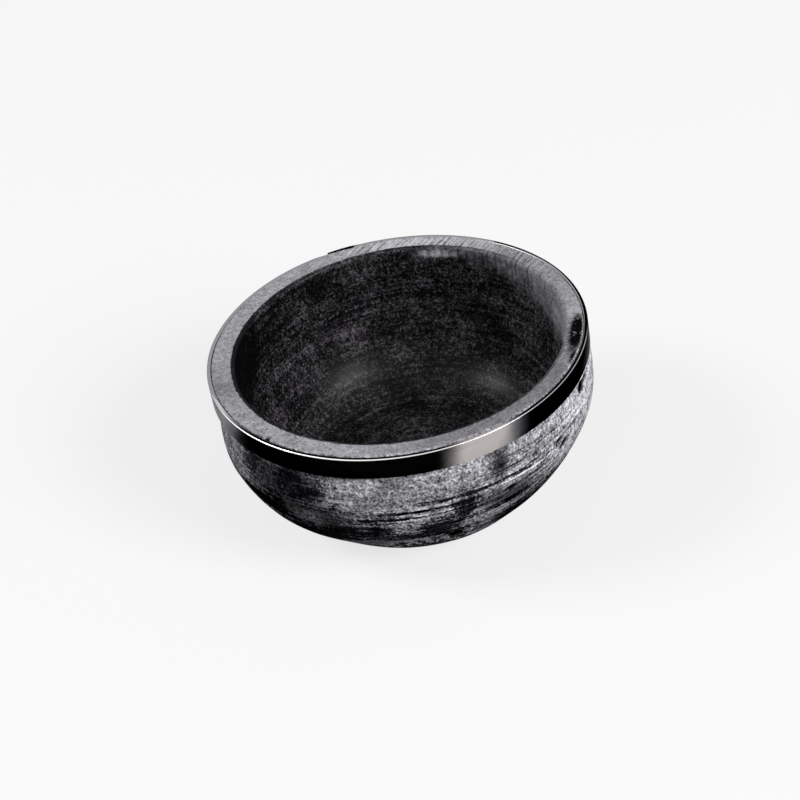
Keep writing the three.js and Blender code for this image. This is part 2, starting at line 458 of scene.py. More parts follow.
class Group(Graph):
    """A node group with named inputs, each with a plain value to start from, and named outputs."""

    def __init__(self, name, tree_kind, inputs, outputs):
        super().__init__(bpy.data.node_groups.new(name, tree_kind))
        for label, value in inputs.items():
            kind = SOCKET_KINDS[type(value)]
            self.tree.interface.new_socket(label, in_out="INPUT", socket_type=kind).default_value = value
        for label, kind in outputs.items():
            self.tree.interface.new_socket(label, in_out="OUTPUT", socket_type=kind)
        self.entry = self.add("NodeGroupInput")
        self.exit = self.add("NodeGroupOutput")

    def given(self, label):
        return Value(self, self.entry.outputs[label])

    def give(self, label, value):
        self.feed(self.exit.inputs[label], value)

    def keep(self, geometry, name, value):
        """Stores a number on every point of a geometry."""
        feeds = {"Geometry": geometry, "Name": name, "Value": value}
        return self.out("GeometryNodeStoreNamedAttribute", 0, feeds, data_type="FLOAT", domain="POINT")

    def kept(self, name):
        return self.out("GeometryNodeInputNamedAttribute", "Attribute", {"Name": name}, data_type="FLOAT")

    def finish(self, label, geometry, material):
        """Ends a tree that makes a piece: smooth, real and in its material."""
        smooth = self.out("GeometryNodeSetShadeSmooth", 0, {"Geometry": geometry})
        real = self.out("GeometryNodeRealizeInstances", 0, {"Geometry": smooth})
        self.give(label, self.out("GeometryNodeSetMaterial", 0, {"Geometry": real, "Material": material}))


def in_scene(name, data):
    """A new object, linked to the scene."""
    thing = bpy.data.objects.new(name, data)
    bpy.context.scene.collection.objects.link(thing)
    return thing


def made_piece(name, group):
    """The plain mesh that a tree makes from the values its inputs start from."""
    piece = in_scene(name, bpy.data.meshes.new(name))
    maker = piece.modifiers.new("Maker", "NODES")
    maker.node_group = group.tree
    depsgraph = bpy.context.evaluated_depsgraph_get()
    made = bpy.data.meshes.new_from_object(
        piece.evaluated_get(depsgraph), preserve_all_data_layers=True, depsgraph=depsgraph
    )
    piece.modifiers.remove(maker)
    piece.data = made
    return piece


# Profiles: stretches of (radius, height) points turned round the Z axis
def point(radius, height):
    return Vector((radius, 0.0, height))


def straight(start, end):
    return start, start.lerp(end, 1 / 3), start.lerp(end, 2 / 3), end


def rounded(start, corner, end):
    return start, start.lerp(corner, 2 / 3), end.lerp(corner, 2 / 3), end


Stretch = namedtuple("Stretch", "bends rows start end")


def measured(stretches):
    """Stretches of a profile with their number of rows and their run along the profile, by name."""
    found = {}
    start = 0.0
    for name, bends, spacing in stretches:
        points = interpolate_bezier(*bends, LENGTH_SAMPLES)
        length = sum((b - a).length for a, b in zip(points, points[1:]))
        found[name] = Stretch(bends, max(1, round(length / spacing)), start, start + length)
        start += length
    return found


def bowl_profile():
    """From the axis out along the foot, up the side, over the rim, down the hollow and back to the axis."""
    foot_edge = point(FOOT_RADIUS - FOOT_ROUND, 0.0)
    foot_corner = point(FOOT_RADIUS, 0.0)
    slope = point(FOOT_RUN, FOOT_RISE)
    side_start = foot_corner + slope.normalized() * FOOT_ROUND
    belly = point(BELLY_RADIUS, BELLY_HEIGHT)
    belly_low = point(BELLY_RADIUS, BELLY_HEIGHT - BELLY_UPRIGHT)
    belly_high = point(BELLY_RADIUS, (BELLY_HEIGHT + SHOULDER_HEIGHT) / 2)
    shoulder = point(SHOULDER_RADIUS, SHOULDER_HEIGHT)
    seat_low = point(SEAT_RADIUS, SHOULDER_HEIGHT)
    seat_high = point(SEAT_RADIUS, RIM_HEIGHT - RIM_OUTER_ROUND)
    rim_corner = point(SEAT_RADIUS, RIM_HEIGHT)
    rim_outer = point(SEAT_RADIUS - RIM_OUTER_ROUND, RIM_HEIGHT)
    rim_inner = point(BORE_RADIUS + RIM_INNER_ROUND, RIM_HEIGHT)
    mouth_corner = point(BORE_RADIUS, RIM_HEIGHT)
    mouth = point(BORE_RADIUS, RIM_HEIGHT - RIM_INNER_ROUND)
    wall = point(BORE_RADIUS - WALL_TAPER, RIM_HEIGHT - RIM_INNER_ROUND - WALL_UPRIGHT)
    sweep = point(FLOOR_RADIUS + FLOOR_SWEEP, FLOOR_THICKNESS)
    floor_edge = point(FLOOR_RADIUS, FLOOR_THICKNESS)
    return measured([
        ("underside", straight(point(0.0, 0.0), foot_edge), FLAT_ROWS),
        ("foot", rounded(foot_edge, foot_corner, side_start), FINE_ROWS),
        ("side", (side_start, foot_corner + slope, belly_low, belly), FINE_ROWS),
        ("upper_side", rounded(belly, belly_high, shoulder), FINE_ROWS),
        ("ledge", straight(shoulder, seat_low), EDGE_ROWS),
        ("seat", straight(seat_low, seat_high), HOLLOW_ROWS),
        ("rim_edge", rounded(seat_high, rim_corner, rim_outer), EDGE_ROWS),
        ("rim", straight(rim_outer, rim_inner), FINE_ROWS),
        ("mouth", rounded(rim_inner, mouth_corner, mouth), FINE_ROWS),
        ("hollow", (mouth, wall, sweep, floor_edge), HOLLOW_ROWS),
        ("floor", straight(floor_edge, point(0.0, FLOOR_THICKNESS)), FLAT_ROWS),
    ])


BOWL = bowl_profile()


# Geometry trees
def turned_stretch():
    """A stretch of a profile turned round the Z axis. Each point keeps its run along the profile."""
    inputs = {
        "Start": Vector(), "Start handle": Vector(), "End handle": Vector(), "End": Vector(),
        "Rows": 8, "Columns": 64, "Run at start": 0.0, "Run at end": 1.0,
    }
    tree = Group("Turned stretch", GEOMETRY_TREE, inputs, {"Surface": "NodeSocketGeometry"})
    bends = {
        "Resolution": CURVE_RESOLUTION,
        "Start": tree.given("Start"), "Start Handle": tree.given("Start handle"),
        "End Handle": tree.given("End handle"), "End": tree.given("End"),
    }
    profile = tree.out("GeometryNodeCurvePrimitiveBezierSegment", 0, bends, mode="POSITION")
    counts = {
        "Size X": 1.0, "Size Y": 1.0,
        "Vertices X": tree.given("Columns") + 1.0, "Vertices Y": tree.given("Rows") + 1.0,
    }
    grid = tree.out("GeometryNodeMeshGrid", "Mesh", counts)
    across, up, _ = tree.parts(tree.out("GeometryNodeInputPosition", 0))
    angle = (across + 0.5) * TURN
    share = up + 0.5
    feeds = {"Curves": profile, "Factor": share}
    radius, _, height = tree.parts(tree.out("GeometryNodeSampleCurve", "Position", feeds, mode="FACTOR"))
    run = tree.blend(share, tree.given("Run at start"), tree.given("Run at end"))
    kept = tree.keep(grid, "along", run)
    place = tree.round_axis(radius, angle, height)
    tree.give("Surface", tree.out("GeometryNodeSetPosition", 0, {"Geometry": kept, "Position": place}))
    return tree


def turned_surface(tree, stretch_group, profile, columns):
    """All the stretches of a profile, joined into one closed skin."""
    joined = tree.add("GeometryNodeJoinGeometry")
    for stretch in profile.values():
        start, start_handle, end_handle, end = stretch.bends
        feeds = {
            "Start": start, "Start handle": start_handle, "End handle": end_handle, "End": end,
            "Rows": stretch.rows, "Columns": columns,
            "Run at start": stretch.start, "Run at end": stretch.end,
        }
        tree.feed(joined.inputs[0], tree.use(stretch_group, "Surface", feeds))
    feeds = {"Geometry": Value(tree, joined.outputs[0]), "Distance": WELD_DISTANCE}
    return tree.out("GeometryNodeMergeByDistance", 0, feeds)


def placed_mark():
    """How close a point lies to a mark: 1 at its middle, 0 at its outline, and less outside."""
    inputs = {
        "Azimuth": 0.0, "Reach": 0.0,
        "Mark azimuth": 0.0, "Mark reach": 0.0, "Half width": 1.0, "Half reach": 1.0,
    }
    tree = Group("Placed mark", GEOMETRY_TREE, inputs, {"Closeness": "NodeSocketFloat"})
    turn = tree.math("WRAP", tree.given("Azimuth") - tree.given("Mark azimuth"), 180.0, -180.0)
    across = turn / tree.given("Half width")
    up = (tree.given("Reach") - tree.given("Mark reach")) / tree.given("Half reach")
    tree.give("Closeness", 1.0 - tree.math("SQRT", across * across + up * up))
    return tree


def closeness(tree, mark_group, marks, azimuth, reach):
    """How close a point lies to the nearest of some marks, each times its strength."""
    found = []
    for mark in marks:
        feeds = {
            "Azimuth": azimuth, "Reach": reach, "Mark azimuth": mark.azimuth, "Mark reach": mark.reach * MM,
            "Half width": mark.half_width, "Half reach": mark.half_reach * MM,
        }
        found.append(tree.use(mark_group, "Closeness", feeds) * mark.strength)
    return tree.most(*found)


def stone_bowl_tree(sizes, stretch_group, mark_group, stone):
    """The bowl: its turned skin, then what turning, use and knocks left on it."""
    tree = Group("Stone bowl", GEOMETRY_TREE, sizes, {"Bowl": "NodeSocketGeometry"})
    skin = turned_surface(tree, stretch_group, BOWL, tree.given("Columns"))

    place = tree.out("GeometryNodeInputPosition", 0)
    x, y, z = tree.parts(place)
    azimuth = tree.azimuth(x, y)
    radius = tree.radius(x, y)
    along = tree.kept("along")
    seed = tree.given("Seed")
    seeded = tree.vector("ADD", place, tree.xyz(seed, seed, seed))
    lathe = tree.xyz(x * GROOVES_ROUND + seed, y * GROOVES_ROUND, along * GROOVES_ALONG)

    side = tree.between(along, BOWL["foot"].end, BOWL["ledge"].start - SIDE_FADE, SIDE_FADE)
    foot = BOWL["underside"].end
    under = tree.ease(along, foot - UNDERSIDE_FADE, foot, 1.0, 0.0)
    edge = tree.between(along, BOWL["rim_edge"].start, BOWL["rim"].start, RIM_EDGE_FADE)
    wall = tree.ease(along, BOWL["mouth"].end, BOWL["mouth"].end + WALL_FADE)
    inside = tree.ease(along, BOWL["rim"].start, BOWL["rim"].end)

    close = {name: closeness(tree, mark_group, marks, azimuth, z) for name, marks in SIDE_MARKS.items()}
    for name, marks in RIM_MARKS.items():
        close[name] = closeness(tree, mark_group, marks, azimuth, radius)
    pit = tree.ease(close["pit"], 0.0, 0.35) * side
    score = tree.ease(close["score"], 0.0, 0.5) * side
    above_seat = tree.ease(along, BOWL["seat"].end - CHIP_FADE, BOWL["seat"].end)
    chip = tree.ease(close["chip"], 0.0, 0.4) * above_seat

    lumps = tree.noise(seeded, LUMPS, 1.0) - 0.5
    dents = tree.noise(seeded, DENTS, 2.0) - 0.5
    patchy = tree.ease(tree.noise(seeded, GROOVED_PATCHES, 1.0), 0.35, 0.65)
    grooves = (tree.noise(lathe, 1.0, 2.0, 0.6) - 0.5) * patchy
    small_pits = tree.ease(tree.cell_distance(seeded, SMALL_PITS), 0.07, 0.02)

    swell = 0.0
    for bulge in BULGES:
        middle = closeness(tree, mark_group, [bulge._replace(strength=1.0)], azimuth, z)
        swell = tree.ease(middle, 0.0, 1.0) * bulge.strength * MM + swell

    worked = side + wall * 0.7
    height = (lumps * 2.0 + dents * 0.7) * tree.given("Lump height") * worked
    height = height + grooves * 2.0 * tree.given("Groove depth") * worked + swell * side
    height = height - tree.noise(seeded, UNDERSIDE_DENTS, 2.0) * tree.given("Lump height") * under
    height = height - score * tree.noise(lathe, 3.0, 1.0) * 1.6 * tree.given("Score depth")
    height = height - tree.most(pit, small_pits * side * 0.4) * tree.given("Pit depth")
    nibbles = tree.ease(tree.noise(seeded, NIBBLES, 2.0), 0.52, 0.8) * 0.5
    height = height - tree.most(chip, nibbles * edge) * tree.given("Chip depth")

    for name, value in close.items():
        skin = tree.keep(skin, name, value)
    # pits, small pits and chips, which the side and rim finishes darken as painted shade
    skin = tree.keep(skin, "hole_shade", tree.most(pit, small_pits * side * 0.8, chip))
    offset = tree.scaled(tree.out("GeometryNodeInputNormal", 0), height)
    shift = tree.scaled(tree.given("Bore shift"), inside)
    feeds = {"Geometry": skin, "Offset": tree.vector("ADD", offset, shift)}
    tree.finish("Bowl", tree.out("GeometryNodeSetPosition", 0, feeds), stone)
    return tree


def straight_bar(tree):
    """A flat bar from x = 0 to x = 1, with rounded edges, its thickness along Y and its width along Z."""
    ends = {"Start": Vector(), "End": Vector((1.0, 0.0, 0.0))}
    middle = tree.out("GeometryNodeCurvePrimitiveLine", 0, ends)
    feeds = {"Curve": middle, "Count": tree.given("Steps") + 1.0}
    line = tree.out("GeometryNodeResampleCurve", 0, feeds, mode="COUNT")
    upright = tree.out("GeometryNodeSetCurveNormal", 0, {"Curve": line}, mode="Z_UP")
    sizes = {"Width": tree.given("Thickness"), "Height": tree.given("Top") - tree.given("Bottom")}
    outline = tree.out("GeometryNodeCurvePrimitiveQuadrilateral", 0, sizes, mode="RECTANGLE")
    feeds = {"Curve": outline, "Radius": tree.given("Edge round"), "Count": BAND_EDGE_FACETS}
    section = tree.out("GeometryNodeFilletCurve", 0, feeds, mode="POLY")
    feeds = {"Curve": upright, "Profile Curve": section, "Fill Caps": True}
    return tree.out("GeometryNodeCurveToMesh", 0, feeds)


def bent_round(tree, bar):
    """The bar bent round the seat: thinned under the lap, then full, then thinned and stepped out."""
    share, across, up = tree.parts(tree.out("GeometryNodeInputPosition", 0))
    thickness = tree.given("Thickness")
    lap_thickness = tree.given("Lap thickness")
    angle = tree.blend(share, tree.given("Covered end"), tree.given("Outer end"))
    thickened = tree.ease(angle, tree.given("Thicken start"), tree.given("Thicken end"))
    stepped_out = tree.ease(angle, tree.given("Step out start"), tree.given("Step out end"))
    inner = stepped_out * (lap_thickness + tree.given("Lap clearance"))
    outer = lap_thickness + thickened * (thickness - lap_thickness)
    outer = outer + stepped_out * (lap_thickness * 2.0 + tree.given("Lap clearance") - thickness)
    radius = tree.given("Inner radius") + tree.blend(across / thickness + 0.5, inner, outer)
    height = up + (tree.given("Bottom") + tree.given("Top")) * 0.5
    place = tree.round_axis(radius, angle, height)
    return tree.out("GeometryNodeSetPosition", 0, {"Geometry": bar, "Position": place})


def steel_band_tree(sizes, mark_group, steel):
    """The band: a flat strip bent round the seat, its thinned outer end lapped over its covered end."""
    tree = Group("Steel band", GEOMETRY_TREE, sizes, {"Band": "NodeSocketGeometry"})
    strip = bent_round(tree, straight_bar(tree))
    x, y, z = tree.parts(tree.out("GeometryNodeInputPosition", 0))
    azimuth = tree.azimuth(x, y)
    for name, marks in BAND_MARKS.items():
        strip = tree.keep(strip, name, closeness(tree, mark_group, marks, azimuth, z))
    outward = tree.vector("NORMALIZE", tree.xyz(x, y, 0.0))
    sway = tree.noise(tree.xyz(x, y, tree.given("Seed")), BAND_SWAYS, 1.0) - 0.5
    offset = tree.scaled(outward, sway * 2.0 * tree.given("Ripple"))
    feeds = {"Geometry": strip, "Offset": offset}
    tree.finish("Band", tree.out("GeometryNodeSetPosition", 0, feeds), steel)
    return tree


def rivet_profile(length):
    """From the countersunk tail up the shank to the crown of the head, with zero at the head's flat."""
    tail = -length
    reach = RIVET_HEAD_RADIUS
    crown = RIVET_HEAD_HEIGHT
    tail_edge = point(RIVET_TAIL_RADIUS, tail)
    shank_low = point(RIVET_SHANK_RADIUS, tail + RIVET_TAIL_DEPTH)
    shank_high = point(RIVET_SHANK_RADIUS, 0.0)
    head_edge = point(reach, 0.0)
    brow = point(reach * 0.99, crown * 0.45)
    shoulder = point(reach * 0.75, crown * 0.72)
    crest = point(reach * 0.4, crown)
    return measured([
        ("tail", straight(point(0.0, tail), tail_edge), RIVET_ROWS),
        ("cone", straight(tail_edge, shank_low), RIVET_ROWS),
        ("shank", straight(shank_low, shank_high), RIVET_ROWS),
        ("flat", straight(shank_high, head_edge), RIVET_ROWS),
        ("brow", rounded(head_edge, brow, shoulder), RIVET_ROWS),
        ("crown", rounded(shoulder, crest, point(0.0, crown)), RIVET_ROWS),
    ])


def rivets_tree(sizes, stretch_group, profile, steel):
    """A row of rivets round the Z axis, each with its head outwards."""
    tree = Group("Rivets", GEOMETRY_TREE, sizes, {"Rivets": "NodeSocketGeometry"})
    rivet = turned_surface(tree, stretch_group, profile, tree.given("Columns"))
    index = tree.out("GeometryNodeInputIndex", 0)
    azimuth = tree.given("First azimuth") + index * tree.given("Azimuth step")
    place = tree.round_axis(tree.given("Head radius"), azimuth, tree.given("Height"))
    points = tree.out("GeometryNodePoints", 0, {"Count": tree.given("Count"), "Position": place})
    lean = tree.out("FunctionNodeEulerToRotation", 0, {0: tree.xyz(0.0, math.pi / 2, azimuth)})
    feeds = {"Points": points, "Instance": rivet, "Rotation": lean}
    tree.finish("Rivets", tree.out("GeometryNodeInstanceOnPoints", 0, feeds), steel)
    return tree


# Finishes that surfaces share
SPECK_SHIFT = (7.3, 2.1, 4.4)  # keeps the specks apart from the crystals


def mineral_grain():
    """The crystals of the stone: a value about one half, and a mask of dark specks."""
    inputs = {"Place": Vector(), "Grain size": 1.2 * MM, "Contrast": 1.0}
    outputs = {"Grain": "NodeSocketFloat", "Specks": "NodeSocketFloat"}
    tree = Group("Mineral grain", SHADER_TREE, inputs, outputs)
    place = tree.given("Place")
    scale = 1.0 / tree.given("Grain size")
    crystals = tree.noise(place, scale, 2.0, 0.6)
    clusters = tree.noise(place, scale * 0.4, 2.0, 0.6)
    grain = (crystals - 0.5) * 3.0 + (clusters - 0.5) * 1.5
    tree.give("Grain", grain * tree.given("Contrast") + 0.5)
    specks = tree.noise(tree.vector("ADD", place, SPECK_SHIFT), scale * 0.75, 1.0)
    tree.give("Specks", tree.ease(specks, 0.62, 0.72))
    return tree


def turning_lines():
    """Lines left by a tool that went round: fine across the profile and long round the axis."""
    inputs = {"Place": Vector(), "Along": 0.0, "Line spacing": 1.5 * MM, "Line length": 60 * MM}
    tree = Group("Turning lines", SHADER_TREE, inputs, {"Lines": "NodeSocketFloat"})
    x, y, _ = tree.parts(tree.given("Place"))
    length = tree.given("Line length")
    stretched = tree.xyz(x / length, y / length, tree.given("Along") / tree.given("Line spacing"))
    tree.give("Lines", tree.noise(stretched, 1.0, 3.0, 0.65))
    return tree


def frayed_mark():
    """A mark with a frayed outline, from how close a point lies to it."""
    inputs = {"Place": Vector(), "Closeness": 0.0, "Fray size": 10 * MM, "Fray depth": 1.0, "Softness": 0.3}
    tree = Group("Frayed mark", SHADER_TREE, inputs, {"Mask": "NodeSocketFloat"})
    scale = 1.0 / tree.given("Fray size")
    wide = tree.noise(tree.given("Place"), scale, 3.0, 0.6) - 0.5
    fine = tree.noise(tree.given("Place"), scale * 5.0, 2.0, 0.6) - 0.5
    close = tree.given("Closeness") + (wide * 1.4 + fine * 0.8) * tree.given("Fray depth")
    soft = tree.given("Softness")
    tree.give("Mask", tree.ease(close, 0.0 - soft, soft))
    return tree


Shared = namedtuple("Shared", "grain lines marks")
Finish = namedtuple("Finish", "colour roughness height")


class Surface(Graph):
    """A material being built round one Principled shader, with the groups it may share."""

    def __init__(self, name, shared=None):
        self.shared = shared
        self.material = bpy.data.materials.new(name)
        self.material.use_nodes = True
        super().__init__(self.material.node_tree)
        self.shader = self.tree.nodes["Principled BSDF"]
        self.place = self.out("ShaderNodeTexCoord", "Object")

    def kept(self, name):
        return self.out("ShaderNodeAttribute", "Fac", attribute_name=name)

    def grey(self, value, colour):
        """A grey as bright as the value, tinted with a colour."""
        grey = self.out("ShaderNodeCombineColor", 0, {0: value, 1: value, 2: value})
        return self.tint(1.0, colour, grey, "MULTIPLY")

    def grained(self, output, size, contrast=1.0):
        """The crystals of the stone or its specks, at one size."""
        feeds = {"Place": self.place, "Grain size": size, "Contrast": contrast}
        return self.use(self.shared.grain, output, feeds)

    def lined(self, along, spacing, length):
        """Lines left by a tool, at one spacing and length."""
        feeds = {"Place": self.place, "Along": along, "Line spacing": spacing, "Line length": length}
        return self.use(self.shared.lines, "Lines", feeds)

    def frayed(self, close, size, depth, softness=0.3):
        """The mask of marks, with their outlines frayed to one size and depth."""
        feeds = {"Place": self.place, "Closeness": close, "Fray size": size, "Fray depth": depth}
        return self.use(self.shared.marks, "Mask", {**feeds, "Softness": softness})

    def wear(self, finish, relief):
        """Puts a finish on the shader. The relief is the depth that a height of 1 stands for."""
        self.feed(self.shader.inputs["Base Color"], finish.colour)
        self.feed(self.shader.inputs["Roughness"], finish.roughness)
        bump = self.out("ShaderNodeBump", 0, {"Height": finish.height, "Distance": relief, "Strength": 1.0})
        self.feed(self.shader.inputs["Normal"], bump)


# Stone: sizes of its grain, of the lines of turning and of its relief
SIDE_GRAIN = 1.4 * MM
RIM_GRAIN = 1.2 * MM
STAIN_GRAIN = 1.6 * MM
HOLLOW_GRAIN = 1.3 * MM
SIDE_LINES = (1.5 * MM, 42 * MM)  # spacing and length
HOLLOW_LINES = (2.4 * MM, 80 * MM)
STONE_RELIEF = 0.35 * MM

# Clouds, blotches, flecks and scratches of the stone, by their number in a metre
SIDE_CLOUDS = 38.0
SIDE_BLOTCHES = 120.0
FOOT_FLECKS = 420.0
RIM_CLOUDS = 70.0
RIM_BLOTCHES = 190.0
HOLLOW_CLOUDS = 42.0
MOUTH_FRAYS = 260.0
SCRATCHES_ALONG = 50.0
SCRATCHES_ACROSS = 560.0

# Places and directions on the stone
SCRATCH_X = 0.64  # which way the rim was ground
SCRATCH_Y = 0.77
FLECKS_FULL = 30 * MM  # heights that the flecks fade between
FLECKS_GONE = 45 * MM
SOOT_FULL = 58 * MM  # and that the soot thins between
SOOT_THIN = 74 * MM
MOUTH_FRAY_DEPTH = 1.6 * MM
MOUTH_FADE = 0.7 * MM
# border of the painted shade under the band
GAP_SHADE_FADE = 0.35 * MM

# Colours and gloss of the stone
STONE_TINT = (0.99, 0.98, 1.05, 1.0)
SOOT_TINT = (0.95, 0.93, 1.15, 1.0)
SEASONED = (0.0016, 0.0013, 0.0017, 1.0)
SEASONED_PALE = (0.115, 0.107, 0.115, 1.0)
# near-black painted shade for the gap between band and stone
GAP_SHADE = (0.003, 0.003, 0.0035, 1.0)
STAIN_LIGHT = 0.003
COAT_WEIGHT = 0.17  # gloss of the seasoned stone
COAT_ROUGHNESS = 0.36
LIGHTNESS = 2.2  # the power that turns how light a place looks into how much light it sends back


def foot_flecks(surface, pale):
    """Flecks on the pale stone just above the foot, drawn out up the slope."""
    x, y, z = surface.parts(surface.place)
    radius = surface.radius(x, y)
    upright = surface.xyz(x / radius * FOOT_RADIUS, y / radius * FOOT_RADIUS, z * 0.35)
    low = surface.ease(z, FLECKS_GONE, FLECKS_FULL)
    return (surface.noise(upright, FOOT_FLECKS, 3.0, 0.75) - 0.56) * pale * low * 7.5


def weathered_side(surface):
    """The outside: speckled grey stone, lathe lines, ragged soot clouds, and painted shade on the left
    front and in pits.
    """
    place = surface.place
    grain = surface.grained("Grain", SIDE_GRAIN)
    specks = surface.grained("Specks", SIDE_GRAIN)
    mottle = surface.noise(place, SIDE_CLOUDS, 3.0, 0.6) - 0.5
    blotch = surface.noise(place, SIDE_BLOTCHES, 3.0, 0.6) - 0.5
    lines = surface.lined(surface.kept("along"), *SIDE_LINES) - 0.5
    streaked = surface.frayed(surface.kept("streak"), size=20 * MM, depth=0.8)
    broken = surface.ease(lines + blotch * 1.2, -0.2, 0.1)
    score = surface.ease(surface.kept("score"), 0.0, 0.5) * broken
    ridge = surface.ease(surface.kept("ridge"), 0.0, 0.5) * broken
    pale = surface.frayed(surface.kept("pale"), size=8 * MM, depth=1.2)
    tone = grain * 0.75 + mottle + blotch * 0.8 - specks * 0.4
    tone = tone + lines * (streaked * 1.7 + 0.6) + ridge * 0.4
    tone = tone + foot_flecks(surface, pale) + pale * 0.25
    bright = surface.spread(tone, -0.3, 1.05, 0.2, 0.98)

    # the dim wash: painted shade on the left front and soot elsewhere
    ragged = surface.kept("shade_and_soot_wash") + (0.5 - grain) * 0.3 - lines * 0.8
    shade_and_soot = surface.frayed(ragged, size=14 * MM, depth=1.0, softness=0.7)
    ragged = surface.kept("soot") + (0.5 - grain) * 0.5 - lines * 2.2
    soot = surface.frayed(ragged, size=17 * MM, depth=1.5, softness=0.45)
    _, _, z = surface.parts(place)
    thinned = surface.ease(z, SOOT_FULL, SOOT_THIN)
    opacity = surface.spread(mottle + blotch - lines, -0.25, 0.25, 0.66, 0.9) * (1.0 - thinned * 0.3)
    bright = bright * (1.0 - shade_and_soot * 0.6) * (1.0 - soot * opacity)
    # painted shade: pits and chips are darkened almost to black
    bright = bright * (1.0 - score * 0.75) * (1.0 - surface.kept("hole_shade") * 0.97)
    light = surface.math("POWER", bright, LIGHTNESS)
    tint = surface.tint(soot, STONE_TINT, SOOT_TINT)
    roughness = surface.blend(soot, 0.82, 0.6)
    height = grain * 0.6 + lines * (streaked + 0.3)
    return Finish(surface.grey(light, tint), roughness, height)


def ground_rim(surface):
    """The rim: ground flat and pale, with slanting scratches on one part and a few dark stains."""
    place = surface.place
    grain = surface.grained("Grain", RIM_GRAIN, 0.9)
    x, y, _ = surface.parts(place)
    slant = (x * SCRATCH_X + y * SCRATCH_Y) * SCRATCHES_ALONG
    across = (x * SCRATCH_Y - y * SCRATCH_X) * SCRATCHES_ACROSS
    scratched = surface.ease(surface.kept("scratched"), 0.0, 0.5)
    ground = surface.noise(surface.xyz(slant, across, 0.0), 1.0, 2.0, 0.6) - 0.5
    cloud = surface.noise(place, RIM_CLOUDS, 3.0, 0.6) - 0.5
    mottle = surface.noise(place, RIM_BLOTCHES, 2.0, 0.6) - 0.5
    tone = grain * 0.75 + cloud + 0.12 + mottle * 0.9 * scratched
    tone = tone + ground * scratched * 4.6 + scratched * 0.35
    light = surface.spread(tone, -0.2, 1.4, 0.105, 0.52)
    light = light * (1.0 - surface.ease(surface.kept("dull"), -0.2, 0.6) * 0.4)
    ragged = surface.kept("stain") + (0.5 - grain) * 0.3
    stain = surface.frayed(ragged, size=12 * MM, depth=0.7, softness=0.5)
    bare = surface.grained("Specks", STAIN_GRAIN)
    light = surface.blend(stain * (1.0 - bare * 0.5), light, STAIN_LIGHT)
    # painted shade in the rim's chips
    light = light * (1.0 - surface.kept("hole_shade") * 0.9)
    roughness = surface.blend(stain, 0.68, 0.45)
    return Finish(surface.grey(light, STONE_TINT), roughness, grain * 0.3 + ground * scratched * 0.8)


def seasoned_hollow(surface):
    """The inside: stone blackened by oil and heat, smooth and a little glossy, with the borer's rings."""
    grain = surface.grained("Grain", HOLLOW_GRAIN)
    rings = surface.lined(surface.kept("along"), *HOLLOW_LINES) - 0.5
    cloud = surface.noise(surface.place, HOLLOW_CLOUDS, 4.0, 0.65) - 0.5
    darker_left_wall = surface.ease(surface.kept("darker_left_wall"), 0.0, 0.8)
    tone = grain * 0.8 + cloud * 1.5 + rings * 1.2 - darker_left_wall * 0.6
    pale = surface.math("POWER", surface.spread(tone, 0.0, 1.05), LIGHTNESS)
    colour = surface.tint(pale, SEASONED, SEASONED_PALE)
    roughness = surface.spread(cloud + grain * 0.15, -0.3, 0.4, 0.34, 0.56)
    return Finish(colour, roughness, grain * 0.35 + rings * 0.6)


def mixed(surface, factor, first, second):
    return Finish(
        surface.tint(factor, first.colour, second.colour),
        surface.blend(factor, first.roughness, second.roughness),
        surface.blend(factor, first.height, second.height),
    )


def stone_material(shared):
    """The stone: weathered outside, ground on the rim, seasoned inside, painted shade in the gap under the
    band.
    """
    surface = Surface("turned_stone", shared)
    along = surface.kept("along")
    side = weathered_side(surface)
    rim = ground_rim(surface)
    hollow = seasoned_hollow(surface)
    on_rim = surface.ease(along, BOWL["rim_edge"].start, BOWL["rim_edge"].end)
    run = along + (surface.noise(surface.place, MOUTH_FRAYS, 3.0) - 0.5) * MOUTH_FRAY_DEPTH
    # painted sheen: on the right of the upper wall the pale rim stone shows in place of the dark seasoned
    # finish
    sheen_and_bare_wall = surface.frayed(surface.kept("sheen_and_bare_wall"), size=12 * MM, depth=1.2, softness=0.8)
    inside = surface.ease(run, BOWL["mouth"].start, BOWL["mouth"].start + MOUTH_FADE)
    inside = surface.math("POWER", inside * (1.0 - sheen_and_bare_wall * 0.97), 0.7)
    finish = mixed(surface, inside, mixed(surface, on_rim, side, rim), hollow)
    # painted shade: the ledge and seat, seen only through the gap under the band, are made near-black
    gap_shade = surface.between(along, BOWL["ledge"].start, BOWL["seat"].end, GAP_SHADE_FADE)
    dark = surface.tint(gap_shade * 0.95, finish.colour, GAP_SHADE)
    surface.shader.inputs["Specular IOR Level"].default_value = 0.0
    surface.shader.inputs["Coat Roughness"].default_value = COAT_ROUGHNESS
    surface.feed(surface.shader.inputs["Coat Weight"], inside * COAT_WEIGHT)
    surface.wear(Finish(dark, finish.roughness, finish.height), STONE_RELIEF)
    return surface.material


# Steel: colours, spacing and length of its lines, spots in a metre, and relief
# painted dark reflection: the polished band's colour is set near-black as the dark surroundings it mirrors,
# with smudges
DARK_REFLECTION_BLACK = (0.0003, 0.0003, 0.0004, 1.0)
DARK_REFLECTION_SMUDGE = (0.002, 0.002, 0.0024, 1.0)
BARE_DARK = (0.38, 0.35, 0.342, 1.0)
BARE_LIGHT = (0.6, 0.56, 0.55, 1.0)
# darker steel for the right side of the painted reflection, and paler steel for the painted grazing
# reflection on the left
REFLECTION_FALLOFF_TINT = (0.3, 0.3, 0.33, 1.0)
GREY_TINT = (0.62, 0.62, 0.64, 1.0)
# lighter grey of the inner part of the band's upper edge
EDGE_GREY = (0.34, 0.34, 0.35, 1.0)
